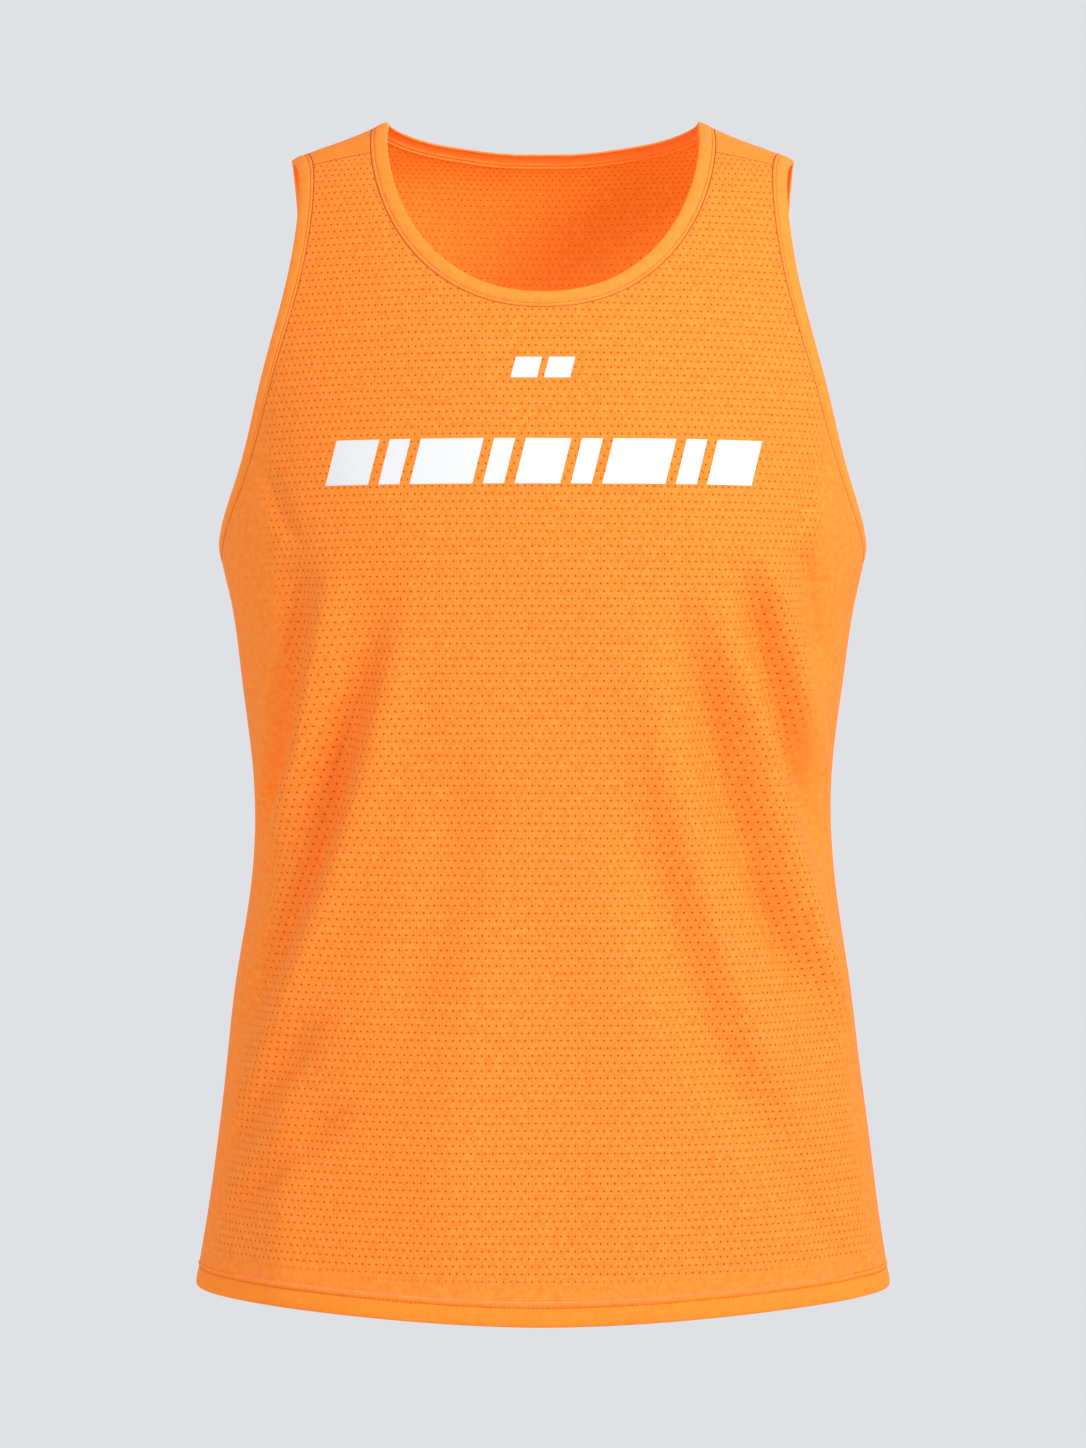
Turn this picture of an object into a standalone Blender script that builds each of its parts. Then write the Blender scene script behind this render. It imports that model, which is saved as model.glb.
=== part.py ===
"""A running singlet, filled out as if worn, with nobody in it. Metres, +Z up, the front faces -Y.

The origin lies midway between the two shoulders, at the height where they carry the straps.
Every piece is cut from one form: rings round a general figure, with the cloth's largest folds on them.
A place on the form is an angle, 0 at centre front and positive towards +X, and a distance up the cloth.
"""

import math
from collections import namedtuple

import bmesh
import bpy
import numpy as np
from mathutils import Vector
from mathutils.geometry import delaunay_2d_cdt

MM = 0.001
QUARTER = math.pi / 2

# Driving sizes, in millimetres.
CLOTH = 1.2  # wall of a single layer
BAND_CLOTH = 2.0  # wall of a band, which is cloth folded double
BAND_PROUD = 0.4  # how far a band stands out from the panel beside it
SEAM_GAP = 0.3
NECK_BAND = 10.0
ARM_BAND = 10.5
HEM_BAND = 14.0

NECK_HALF_WIDTH = 93.0
NECK_FRONT_DROP = 112.0
NECK_FRONT_FULLNESS = 2.18  # the power of its curve, where an ellipse has 2
NECK_BACK_DROP = 9.5
NECK_BACK_FULLNESS = 2.4  # the power that makes the back neck flat in the middle

SHOULDER_POINT = 151.0  # from the centre line to the armhole's edge, on top of the shoulder
SHOULDER_LOWEST = -100.0  # the shoulder's ridge is all above this
UNDERARM_HEIGHT = -242.0
ARMHOLE_FRONT = math.radians(20.5)  # how far round the form the armhole reaches
ARMHOLE_BACK = math.radians(22.5)
ARMHOLE_LEAN = 0.1  # how much more of that reach is in the armhole's upper half

HEM_SIDE_HEIGHT = -684.0
HEM_FRONT_DROP = 9.0
HEM_BACK_DROP = 11.0

# How many equal steps each edge is cut into. Pieces that meet share them.
NECK_FRONT_STEPS = 34
NECK_BACK_STEPS = 22
ARM_STEPS = 26  # each half of an armhole
HEM_STEPS = 40  # each half of the hem
SIDE_STEPS = 17
STRAP_STEPS = 4  # across a strap, from its armhole to the neck

# How many steps a shoulder piece reaches from the ridge of the shoulder, along its two long sides.
Reach = namedtuple("Reach", "along_neck along_arm")
FRONT_REACH = Reach(4, 3)
BACK_REACH = Reach(3, 2)

# The mesh inside a panel is staggered rows of points.
MESH_ACROSS = 12.5
MESH_UP = 26.0
MEAN_RADIUS = 150.0  # turns an angle into a distance, near enough for the mesh
MESH_CLEAR = 0.62  # how far the rows stay from a panel's edge, in steps of the mesh

PERFORATED_COLOUR = (0.84, 0.20, 0.035)
PLAIN_COLOUR = (0.87, 0.23, 0.045)
BAND_COLOUR = (0.90, 0.26, 0.055)
CLOTH_ROUGHNESS = 0.75

# The form's rings, hem first. Heights are from the origin, and depths from the side seams' plane.
# Squareness is how much fuller a ring is at its corners than an ellipse.
Ring = namedtuple("Ring", "height half_width front_depth back_depth squareness")
RINGS = (
    Ring(-712, 211.0, 122, 115, 0.030),
    Ring(-684, 207.8, 121, 114, 0.030),
    Ring(-647, 202.0, 119, 113, 0.032),
    Ring(-599, 195.5, 117, 111, 0.034),
    Ring(-551, 189.5, 115, 108, 0.036),
    Ring(-503, 184.0, 114, 104, 0.038),
    Ring(-455, 176.5, 113, 99, 0.040),
    Ring(-407, 172.5, 113, 95, 0.040),
    Ring(-370, 174.0, 114, 94, 0.040),
    Ring(-320, 180.5, 117, 98, 0.040),
    Ring(-275, 187.0, 121, 105, 0.036),
    Ring(-242, 193.5, 123, 110, 0.032),
    Ring(-199, 191.0, 122, 115, 0.026),
    Ring(-149, 190.0, 115, 117, 0.018),
    Ring(-89, 184.0, 98, 113, 0.010),
    Ring(-49, 176.5, 82, 104, 0.004),
    Ring(-24, 165.0, 67, 92, 0.0),
    Ring(-12, 151.0, 56, 83, 0.0),
    Ring(0, 121.0, 45, 69, 0.0),
    Ring(12, 93.0, 35, 56, 0.0),
    Ring(21, 72.0, 26, 44, 0.0),
)

# The largest folds. Each runs from high to low, with its angles in degrees, bowed sideways in the
# middle by an angle. A ridge stands out and a trough, with a negative height, falls in.
Fold = namedtuple("Fold", "high high_angle low low_angle bow half_width height")
FOLDS = (
    # Front, -X side: a fan from the chest to the side seam, and two short ones above the hem.
    Fold(-240, -59, -430, -81, 5, 11, -4.5),
    Fold(-245, -48, -450, -78, 2, 13, 4.0),
    Fold(-262, -38, -550, -79, 0, 12, -5.0),
    Fold(-265, -33, -595, -78, 3, 14, 3.5),
    Fold(-355, -25, -545, -40, 4, 20, -2.5),
    Fold(-512, -56, -618, -82, 0, 12, -3.0),
    Fold(-562, -48, -648, -79, 0, 12, -3.0),
    # Front, +X side: longer and closer together.
    Fold(-232, 60, -328, 75, 0, 9, -3.0),
    Fold(-236, 51, -388, 77, -1, 9, 3.0),
    Fold(-242, 47, -436, 80, -3, 11, -5.0),
    Fold(-255, 40, -570, 82, 2, 13, 4.5),
    Fold(-262, 34, -548, 77, -4, 12, -5.0),
    Fold(-290, 27, -625, 70, -5, 15, 3.5),
    Fold(-380, 28, -636, 64, -6, 18, -3.0),
    # Back: the same kind of fan from each shoulder blade.
    Fold(-225, 121, -430, 99, -3, 12, -4.5),
    Fold(-232, 132, -515, 101, -2, 14, 4.0),
    Fold(-250, 143, -575, 107, -4, 14, -4.5),
    Fold(-320, 157, -600, 132, -4, 19, 3.0),
    Fold(-230, -119, -442, -98, 3, 12, -4.5),
    Fold(-240, -130, -495, -100, 3, 13, 4.0),
    Fold(-262, -144, -590, -106, 4, 15, -4.5),
    Fold(-300, -160, -565, -137, 3, 19, 2.5),
)


def natural_spline(knots, values):
    """A function that runs smoothly through the values at the knots."""
    knots = np.array(knots, float)
    values = np.array(values, float)
    gaps = np.diff(knots)
    slopes = np.diff(values) / gaps
    last = len(knots) - 1
    matrix = np.eye(last + 1)
    right = np.zeros(last + 1)
    for i in range(1, last):
        matrix[i, i - 1 : i + 2] = gaps[i - 1], 2 * (gaps[i - 1] + gaps[i]), gaps[i]
        right[i] = 6 * (slopes[i] - slopes[i - 1])
    bends = np.linalg.solve(matrix, right)

    def value_at(place):
        i = np.clip(np.searchsorted(knots, place) - 1, 0, last - 1)
        before = (knots[i + 1] - place) / gaps[i]
        after = (place - knots[i]) / gaps[i]
        curve = (before**3 - before) * bends[i] + (after**3 - after) * bends[i + 1]
        return before * values[i] + after * values[i + 1] + curve * gaps[i] ** 2 / 6

    return value_at


def ring_distances():
    """How far up the cloth each ring is, as the mean of the side's and the front's own lengths."""
    rings = np.array(RINGS, float)
    rise = np.diff(rings[:, 0])
    side = np.hypot(rise, np.diff(rings[:, 1]))
    front = np.hypot(rise, np.diff(rings[:, 2]))
    return np.concatenate([[0], np.cumsum((side + front) / 2)])


UP = ring_distances()
HEIGHT, HALF_WIDTH, FRONT_DEPTH, BACK_DEPTH, SQUARENESS = (
    natural_spline(UP, column) for column in zip(*RINGS)
)
FINE_UP = np.linspace(0, UP[-1], 4000)
FINE_HEIGHT = HEIGHT(FINE_UP)


def up_at_height(height):
    return np.interp(height, FINE_HEIGHT, FINE_UP)


def ring_point(angle, up):
    """The smooth form, without folds, in millimetres."""
    depth = np.where(np.cos(angle) > 0, FRONT_DEPTH(up), BACK_DEPTH(up))
    reach = 1 / np.hypot(np.sin(angle) / HALF_WIDTH(up), np.cos(angle) / depth)
    reach = reach * (1 + SQUARENESS(up) * np.sin(2 * angle) ** 2)
    return np.stack([reach * np.sin(angle), -reach * np.cos(angle), HEIGHT(up)], -1)


def slopes_at(angle, up):
    """How the form moves for each radian round it and each millimetre up it."""
    turn, rise = 1e-4, 0.05
    across = (ring_point(angle + turn, up) - ring_point(angle - turn, up)) / (2 * turn)
    upward = (ring_point(angle, up + rise) - ring_point(angle, up - rise)) / (2 * rise)
    return across, upward


def outward(angle, up):
    """The direction away from the wearer."""
    normal = np.cross(*slopes_at(angle, up))
    return normal / np.linalg.norm(normal, axis=-1, keepdims=True)


def soft_step(share):
    share = np.clip(share, 0, 1)
    return share * share * (3 - 2 * share)


def fold_height(angle, up):
    """How far the folds lift the cloth off the smooth form."""
    angle, height = np.broadcast_arrays(angle, HEIGHT(up))
    lift = np.zeros(angle.shape)
    for fold in FOLDS:
        share = (height - fold.high) / (fold.low - fold.high)
        bow = fold.bow * 4 * share * (1 - share)
        path = np.radians(fold.high_angle + (fold.low_angle - fold.high_angle) * share + bow)
        aside = (angle - path + math.pi) % (2 * math.pi) - math.pi
        reach = np.hypot(*np.moveaxis(ring_point(path, up)[..., :2], -1, 0))
        ends = soft_step(share / 0.3) * soft_step((1 - share) / 0.3)
        lift = lift + fold.height * ends * np.exp(-((aside * reach / fold.half_width) ** 2))
    return lift


def cloth_point(angle, up, proud=0.0):
    """The cloth's outer face, in millimetres, or a place that much further out."""
    lift = fold_height(angle, up) + proud
    return ring_point(angle, up) + outward(angle, up) * np.expand_dims(lift, -1)


def angle_at(x, up, back=False):
    """The angle at which a ring is this far from the centre line."""
    low = np.zeros_like(x)
    high = np.full_like(x, QUARTER)
    for _ in range(50):
        middle = (low + high) / 2
        at = ring_point(math.pi - middle if back else middle, up)[..., 0]
        low = np.where(at < np.abs(x), middle, low)
        high = np.where(at < np.abs(x), high, middle)
    return np.copysign(math.pi - low if back else low, x)


def walk(places, direction, distance):
    """Each (angle, up) place moved that far over the form, in a direction along its surface."""
    angle, up = places
    steps = 5
    for _ in range(steps):
        across, upward = slopes_at(angle, up)
        aa, bb = (across * across).sum(-1), (upward * upward).sum(-1)
        ab = (across * upward).sum(-1)
        a, b = (across * direction).sum(-1), (upward * direction).sum(-1)
        size = aa * bb - ab * ab
        angle = angle + (a * bb - b * ab) / size * distance / steps
        up = up + (b * aa - a * ab) / size * distance / steps
    return np.stack([angle, up])


def evenly(curve, steps):
    """Places an equal distance apart along a curve, which takes a share from 0 to 1."""
    fine = np.linspace(0, 1, 600)
    lengths = np.linalg.norm(np.diff(ring_point(*curve(fine)), axis=0), axis=1)
    total = np.concatenate([[0], np.cumsum(lengths)])
    return np.stack(curve(np.interp(np.linspace(0, total[-1], steps + 1), total, fine)))


def into_cloth(edge, distance):
    """A closed edge moved this far over the form, to the left of its run, where its cloth is."""
    points = ring_point(*edge)
    run = np.roll(points, -1, axis=0) - np.roll(points, 1, axis=0)
    left = np.cross(outward(*edge), run)
    return walk(edge, left / np.linalg.norm(left, axis=1, keepdims=True), distance)


def up_on_shoulder(x):
    """Where the shoulder's ridge is this far from the centre line."""
    ridge = FINE_HEIGHT > SHOULDER_LOWEST
    return np.interp(-x, -HALF_WIDTH(FINE_UP[ridge]), FINE_UP[ridge])


NECK_POINT_UP = up_on_shoulder(NECK_HALF_WIDTH)
SHOULDER_POINT_UP = up_on_shoulder(SHOULDER_POINT)
UNDERARM_UP = up_at_height(UNDERARM_HEIGHT)


def neck_front(share):
    """The front neck's edge, a full round scoop, from the +X shoulder across."""
    turn = QUARTER - math.pi * share
    aside, deep = np.abs([np.sin(turn), np.cos(turn)]) ** (2 / NECK_FRONT_FULLNESS)
    up = up_at_height(HEIGHT(NECK_POINT_UP) - NECK_FRONT_DROP * deep)
    return angle_at(np.copysign(NECK_HALF_WIDTH * aside, turn), up), up


def neck_back(share):
    """The back neck's edge, from the -X shoulder across."""
    turn = math.pi * share - QUARTER
    fall = 1 - np.abs(np.sin(turn)) ** NECK_BACK_FULLNESS
    up = up_at_height(HEIGHT(NECK_POINT_UP) - NECK_BACK_DROP * fall)
    angle = angle_at(NECK_HALF_WIDTH * np.sin(turn), up, back=True)
    return angle % (2 * math.pi), up


def armhole(share, reach):
    """Half of the +X armhole's edge, from the underarm up to the shoulder."""
    turn = math.pi * (1 - share)
    middle = (SHOULDER_POINT_UP + UNDERARM_UP) / 2
    half = (SHOULDER_POINT_UP - UNDERARM_UP) / 2
    bulge = np.sin(turn) + ARMHOLE_LEAN * np.sin(2 * turn)
    return QUARTER - reach * bulge, middle + half * np.cos(turn)


def hem(angle, above=0.0):
    """The place at this angle on the hem's edge, or that far above it."""
    drop = np.where(np.cos(angle) > 0, HEM_FRONT_DROP, HEM_BACK_DROP)
    height = HEM_SIDE_HEIGHT - drop * np.cos(angle) ** 2
    return np.stack([angle, up_at_height(height) + above])


def joined(first, second):
    """A closed edge from two runs, each of which starts at the place where the other ends."""
    return np.concatenate([first[:, :-1], second[:, :-1]], axis=1)


def mirrored(places, whole_turn=0.0):
    """The same places on the other side, run the other way, with a panel's angles kept together."""
    return np.stack([whole_turn - places[0, ::-1], places[1, ::-1]])


NECK_EDGE = joined(evenly(neck_front, NECK_FRONT_STEPS), evenly(neck_back, NECK_BACK_STEPS))
ARM_EDGE = joined(
    evenly(lambda share: armhole(share, ARMHOLE_FRONT), ARM_STEPS),
    evenly(lambda share: armhole(1 - share, -ARMHOLE_BACK), ARM_STEPS),
)
NECK_SEAM = into_cloth(NECK_EDGE, NECK_BAND + SEAM_GAP)
ARM_SEAM = into_cloth(ARM_EDGE, ARM_BAND + SEAM_GAP)


def stretch(seam, first, last):
    """The places of a closed seam from one number to another, both of them counted."""
    return seam[:, np.arange(first, last + 1) % seam.shape[1]]


def strap_seam(neck_number, arm_number):
    """A shoulder seam on the +X side, from the armhole's band to the neckband."""
    start, end = ARM_SEAM[:, [arm_number]], NECK_SEAM[:, [neck_number]]
    return start + (end - start) * np.linspace(0, 1, STRAP_STEPS + 1)


def side_seam():
    """The +X side seam, from the hem's band up to the armhole's."""
    bottom = hem(QUARTER, HEM_BAND + SEAM_GAP)[1]
    up = np.linspace(bottom, ARM_SEAM[1, 0], SIDE_STEPS + 1)
    return np.stack([np.full_like(up, QUARTER), up])


def hem_seam(start, end):
    return hem(np.linspace(start, end, HEM_STEPS // 2 + 1), HEM_BAND + SEAM_GAP)


def left_of(seam):
    """A seam moved to the left of its run by half of the gap that is left at a seam."""
    left = np.cross(outward(*seam), np.gradient(ring_point(*seam), axis=0))
    return walk(seam, left / np.linalg.norm(left, axis=1, keepdims=True), SEAM_GAP / 2)


def both_halves(half, whole_turn=0.0):
    """A panel's outline from the half on the +X side, which starts and ends on the centre line."""
    return np.concatenate([half, mirrored(half, whole_turn)[:, 1:-1]], axis=1)


def front_outline():
    """Counted against the clock from centre front at the hem, as all outlines are from outside."""
    arm = stretch(ARM_SEAM, 0, ARM_STEPS - FRONT_REACH.along_arm)
    strap = strap_seam(FRONT_REACH.along_neck, ARM_STEPS - FRONT_REACH.along_arm)
    neck = stretch(NECK_SEAM, FRONT_REACH.along_neck, NECK_FRONT_STEPS // 2)
    runs = hem_seam(0, QUARTER)[:, :-1], left_of(side_seam()), arm[:, 1:-1], left_of(strap)
    return both_halves(np.concatenate([*runs, neck[:, 1:]], axis=1))


def back_outline():
    neck_steps = NECK_FRONT_STEPS + NECK_BACK_STEPS
    neck_middle = NECK_FRONT_STEPS + NECK_BACK_STEPS // 2
    neck = stretch(NECK_SEAM, neck_middle, neck_steps - BACK_REACH.along_neck)
    strap = strap_seam(-BACK_REACH.along_neck, ARM_STEPS + BACK_REACH.along_arm)[:, ::-1]
    arm = stretch(ARM_SEAM, ARM_STEPS + BACK_REACH.along_arm, 2 * ARM_STEPS)
    runs = neck[:, :-1], left_of(strap), arm[:, 1:-1], left_of(side_seam()[:, ::-1])
    half = np.concatenate([*runs, hem_seam(QUARTER, math.pi)[:, 1:]], axis=1)
    half[0] %= 2 * math.pi
    return both_halves(half, 2 * math.pi)


def shoulder_outline():
    """The piece over the +X shoulder, from the inner end of its front seam."""
    front = strap_seam(FRONT_REACH.along_neck, ARM_STEPS - FRONT_REACH.along_arm)[:, ::-1]
    arm = stretch(ARM_SEAM, ARM_STEPS - FRONT_REACH.along_arm, ARM_STEPS + BACK_REACH.along_arm)
    back = strap_seam(-BACK_REACH.along_neck, ARM_STEPS + BACK_REACH.along_arm)
    neck = stretch(NECK_SEAM, -BACK_REACH.along_neck, FRONT_REACH.along_neck)
    runs = left_of(front), arm[:, 1:-1], left_of(back), neck[:, 1:-1]
    return np.concatenate(runs, axis=1)


def inside(points, border):
    """Which points are inside a closed border, by how often a line to their right crosses it."""
    start, end = border, np.roll(border, -1, axis=0)
    x, y = points[:, :1], points[:, 1:]
    spans = (start[:, 1] > y) != (end[:, 1] > y)
    rise = np.where(spans, end[:, 1] - start[:, 1], 1)
    crossing = start[:, 0] + (y - start[:, 1]) * (end[:, 0] - start[:, 0]) / rise
    return (spans & (x < crossing)).sum(axis=1) % 2 == 1


def staggered_rows(border):
    """Points one step apart in staggered rows, inside a border and clear of it."""
    low, high = np.floor(border.min(axis=0)), np.ceil(border.max(axis=0))
    across, row = np.meshgrid(np.arange(low[0], high[0]), np.arange(low[1], high[1]))
    points = np.stack([across + 0.5 * (row % 2), row], axis=-1).reshape(-1, 2)
    points = points[inside(points, border)]
    away = np.linalg.norm(points[:, None] - border, axis=2).min(axis=1)
    return points[away > MESH_CLEAR]


def panel_mesh(outline):
    """The places and triangles of a panel."""
    steps = np.array([MEAN_RADIUS / MESH_ACROSS, 1 / MESH_UP])
    border = outline.T * steps
    spots = [Vector(spot) for spot in np.concatenate([border, staggered_rows(border)])]
    around = [(i, (i + 1) % len(border)) for i in range(len(border))]
    inside_only, closeness = 1, 1e-6
    spots, _, triangles, *_ = delaunay_2d_cdt(spots, around, [], inside_only, closeness)
    return (np.array(spots) / steps).T, triangles


def band_mesh(edge, seam):
    """The places and faces of a band, from its free edge to its seam, which is to the left."""
    around = edge.shape[1]
    following = np.roll(np.arange(around), -1)
    faces = [(i, after, after + around, i + around) for i, after in enumerate(following)]
    return np.concatenate([edge, seam], axis=1), faces


def add_material(name, colour):
    material = bpy.data.materials.new(name)
    material.use_nodes = True
    shader = material.node_tree.nodes["Principled BSDF"]
    shader.inputs["Base Color"].default_value = (*colour, 1)
    shader.inputs["Roughness"].default_value = CLOTH_ROUGHNESS
    shader.inputs["Metallic"].default_value = 0
    return material


def add_piece(collection, name, piece_mesh, proud, thickness, material):
    """A piece of cloth: its inner face is laid on the form and extruded out to the outer one."""
    places, faces = piece_mesh
    inner, outer = (cloth_point(*places, proud - wall) * MM for wall in (thickness, 0))
    work = bmesh.new()
    number = work.verts.layers.int.new("number")
    verts = [work.verts.new(point) for point in inner]
    for i, vert in enumerate(verts):
        vert[number] = i
    for face in faces:
        work.faces.new([verts[i] for i in face])
    made = bmesh.ops.extrude_face_region(work, geom=work.faces[:], use_keep_orig=True)
    for vert in made["geom"]:
        if isinstance(vert, bmesh.types.BMVert):
            vert.co = outer[vert[number]]
    bmesh.ops.recalc_face_normals(work, faces=work.faces)
    mesh = bpy.data.meshes.new(name)
    work.to_mesh(mesh)
    work.free()
    mesh.materials.append(material)
    mesh.shade_smooth()
    collection.objects.link(bpy.data.objects.new(name, mesh))


def make_panels(collection):
    perforated = add_material("perforated_jersey", PERFORATED_COLOUR)
    plain = add_material("plain_jersey", PLAIN_COLOUR)
    shoulder = shoulder_outline()
    for name, outline, material in (
        ("front_panel", front_outline(), perforated),
        ("back_panel", back_outline(), perforated),
        ("shoulder_panel_left", shoulder, plain),
        ("shoulder_panel_right", mirrored(shoulder), plain),
    ):
        add_piece(collection, name, panel_mesh(outline), 0, CLOTH, material)


def make_bands(collection):
    binding = add_material("band_jersey", BAND_COLOUR)
    round_hem = np.linspace(-math.pi, math.pi, 2 * HEM_STEPS + 1)[:-1]
    arm_seam = into_cloth(ARM_EDGE, ARM_BAND)
    for name, edge, seam in (
        ("neckband", NECK_EDGE, into_cloth(NECK_EDGE, NECK_BAND)),
        ("armhole_band_left", ARM_EDGE, arm_seam),
        ("armhole_band_right", mirrored(ARM_EDGE), mirrored(arm_seam)),
        ("hem_band", hem(round_hem), hem(round_hem, HEM_BAND)),
    ):
        add_piece(collection, name, band_mesh(edge, seam), BAND_PROUD, BAND_CLOTH, binding)


def main():
    for thing in list(bpy.data.objects):
        bpy.data.objects.remove(thing)
    collection = bpy.data.collections.new("running_singlet")
    bpy.context.scene.collection.children.link(collection)
    make_panels(collection)
    make_bands(collection)


main()
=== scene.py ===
import math
from collections import namedtuple

import bmesh
import bpy
import numpy as np
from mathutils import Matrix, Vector
from mathutils.geometry import delaunay_2d_cdt


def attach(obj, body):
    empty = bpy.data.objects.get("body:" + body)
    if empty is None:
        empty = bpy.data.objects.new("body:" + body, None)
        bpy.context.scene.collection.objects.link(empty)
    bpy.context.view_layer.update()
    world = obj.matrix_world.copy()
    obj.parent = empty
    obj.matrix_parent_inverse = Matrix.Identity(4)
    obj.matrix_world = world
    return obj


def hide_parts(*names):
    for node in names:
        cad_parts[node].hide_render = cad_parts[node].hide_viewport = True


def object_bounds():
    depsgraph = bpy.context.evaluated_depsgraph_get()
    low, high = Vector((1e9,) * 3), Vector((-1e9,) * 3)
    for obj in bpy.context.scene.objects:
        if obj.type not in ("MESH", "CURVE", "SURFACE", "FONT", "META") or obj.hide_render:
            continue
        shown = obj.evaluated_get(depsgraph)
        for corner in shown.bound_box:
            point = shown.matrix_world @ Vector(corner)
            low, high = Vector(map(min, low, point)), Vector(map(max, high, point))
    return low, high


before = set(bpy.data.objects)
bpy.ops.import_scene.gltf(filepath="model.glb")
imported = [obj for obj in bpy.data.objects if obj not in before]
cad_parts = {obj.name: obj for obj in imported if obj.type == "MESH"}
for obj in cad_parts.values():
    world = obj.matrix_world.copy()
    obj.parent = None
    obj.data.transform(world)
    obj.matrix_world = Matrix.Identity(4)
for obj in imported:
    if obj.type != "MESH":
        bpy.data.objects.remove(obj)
cad_low, cad_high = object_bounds()

# The view: level, straight at the front, with the whole singlet in the frame.
VIEW_DISTANCE = 2.4
VIEW_HEIGHT = -0.349
VIEW_TALL = 0.8688  # what the frame takes in, top to bottom, at the side seams
SENSOR = 36.0
camera_data = bpy.data.cameras.new("camera")
camera_data.sensor_width = SENSOR
camera_data.lens = SENSOR * VIEW_DISTANCE / VIEW_TALL
camera = bpy.data.objects.new("camera", camera_data)
camera.location = 0, -VIEW_DISTANCE, VIEW_HEIGHT
camera.rotation_euler = math.radians(90), 0, 0
bpy.context.collection.objects.link(camera)
bpy.context.scene.camera = camera
bpy.context.scene.view_settings.view_transform = "Standard"

# The studio: a pale room whose own light is soft, a pale floor well below the hem, a broad
# key light from the right and above, and a weak one from the left.
ROOM_COLOUR = 0.737, 0.752, 0.783, 1
FLOOR_DROP = 1.55
FLOOR_RADIUS = 6.0
Dimming = namedtuple("Dimming", "behind ahead weakest full")
DIMMING = Dimming(-0.7, 0.75, 0.55, 1.0)  # the room is dimmer towards -Y, behind the viewer
world = bpy.data.worlds.new("room")
world.use_nodes = True
room = world.node_tree.nodes["Background"]
room.inputs["Color"].default_value = ROOM_COLOUR
towards = world.node_tree.nodes.new("ShaderNodeTexCoord")
split_towards = world.node_tree.nodes.new("ShaderNodeSeparateXYZ")
dimmer = world.node_tree.nodes.new("ShaderNodeMapRange")
for socket, value in zip(("From Min", "From Max", "To Min", "To Max"), DIMMING):
    dimmer.inputs[socket].default_value = value
world.node_tree.links.new(towards.outputs["Generated"], split_towards.inputs[0])
world.node_tree.links.new(split_towards.outputs[1], dimmer.inputs["Value"])
world.node_tree.links.new(dimmer.outputs[0], room.inputs["Strength"])
bpy.context.scene.world = world

bpy.ops.object.select_all(action="DESELECT")
bpy.ops.mesh.primitive_circle_add(
    vertices=96, radius=FLOOR_RADIUS, fill_type="NGON", location=(0, 0, cad_low[2] - FLOOR_DROP)
)
floor = bpy.context.object
floor.name = "floor"
floor_paint = bpy.data.materials.new("floor_paint")
floor_paint.use_nodes = True
floor_paint.node_tree.nodes["Principled BSDF"].inputs["Base Color"].default_value = ROOM_COLOUR
floor.data.materials.append(floor_paint)

Lamp = namedtuple("Lamp", "name place size watts")
for lamp in (
    Lamp("key_light", (1.75, -1.9, 0.75), 1.1, 58),
    Lamp("fill_light", (-1.7, -1.8, -0.2), 1.6, 15),
    Lamp("back_light", (0.9, 1.9, 1.0), 1.2, 8),
):
    light = bpy.data.lights.new(lamp.name, "AREA")
    light.energy = lamp.watts
    light.size = lamp.size
    holder = bpy.data.objects.new(lamp.name, light)
    holder.location = lamp.place
    aim = Vector((0, 0, VIEW_HEIGHT)) - Vector(lamp.place)
    holder.rotation_euler = aim.to_track_quat("-Z", "Y").to_euler()
    bpy.context.collection.objects.link(holder)

# FRONT PANEL. The largest piece of the singlet: a perforated polyester jersey, cut with a deep
# round neck and armholes. The perforations stop short of the side seams, where the knit is plain.
# It is laid on a form of rings round a general figure, in millimetres, and so is all else.
MM = 0.001
QUARTER = math.pi / 2

CLOTH = 1.2  # wall of a single layer
BAND_CLOTH = 2.0  # wall of a band, which is cloth folded double
BAND_PROUD = 0.4  # how much of that wall stands out from the panel beside it
SEAM_GAP = 0.3
NECK_BAND = 10.0
ARM_BAND = 10.5
HEM_BAND = 14.0

NECK_HALF_WIDTH = 93.0
NECK_FRONT_DROP = 112.0
NECK_FRONT_FULLNESS = 2.18  # the power of its curve, where an ellipse has 2
NECK_BACK_DROP = 9.5
NECK_BACK_FULLNESS = 2.4  # the power that makes the back neck flat in the middle

SHOULDER_POINT = 151.0  # from the centre line to the armhole's edge, on top of the shoulder
SHOULDER_LOWEST = -100.0  # the shoulder's ridge is all above this
UNDERARM_HEIGHT = -242.0
ARMHOLE_FRONT = math.radians(20.5)  # how far round the form the armhole reaches
ARMHOLE_BACK = math.radians(22.5)
ARMHOLE_LEAN = 0.1  # how much more of that reach is in the armhole's upper half

HEM_SIDE_HEIGHT = -684.0
HEM_FRONT_DROP = 9.0
HEM_BACK_DROP = 11.0

# Every edge is cut into steps, the same number on both sides of a seam.
REFINE = 4
NECK_FRONT_STEPS = 34 * REFINE
NECK_BACK_STEPS = 22 * REFINE
ARM_STEPS = 26 * REFINE
HEM_STEPS = 40 * REFINE
SIDE_STEPS = 34 * REFINE
STRAP_STEPS = 4 * REFINE
Reach = namedtuple("Reach", "along_neck along_arm")
FRONT_REACH = Reach(4 * REFINE, 3 * REFINE)
BACK_REACH = Reach(3 * REFINE, 2 * REFINE)
MESH_ACROSS = 3.4
MESH_UP = 4.4
MEAN_RADIUS = 150.0  # turns an angle into a distance, near enough for the mesh
MESH_CLEAR = 0.6  # how far the rows stay from a panel's edge, in steps of the mesh

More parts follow.
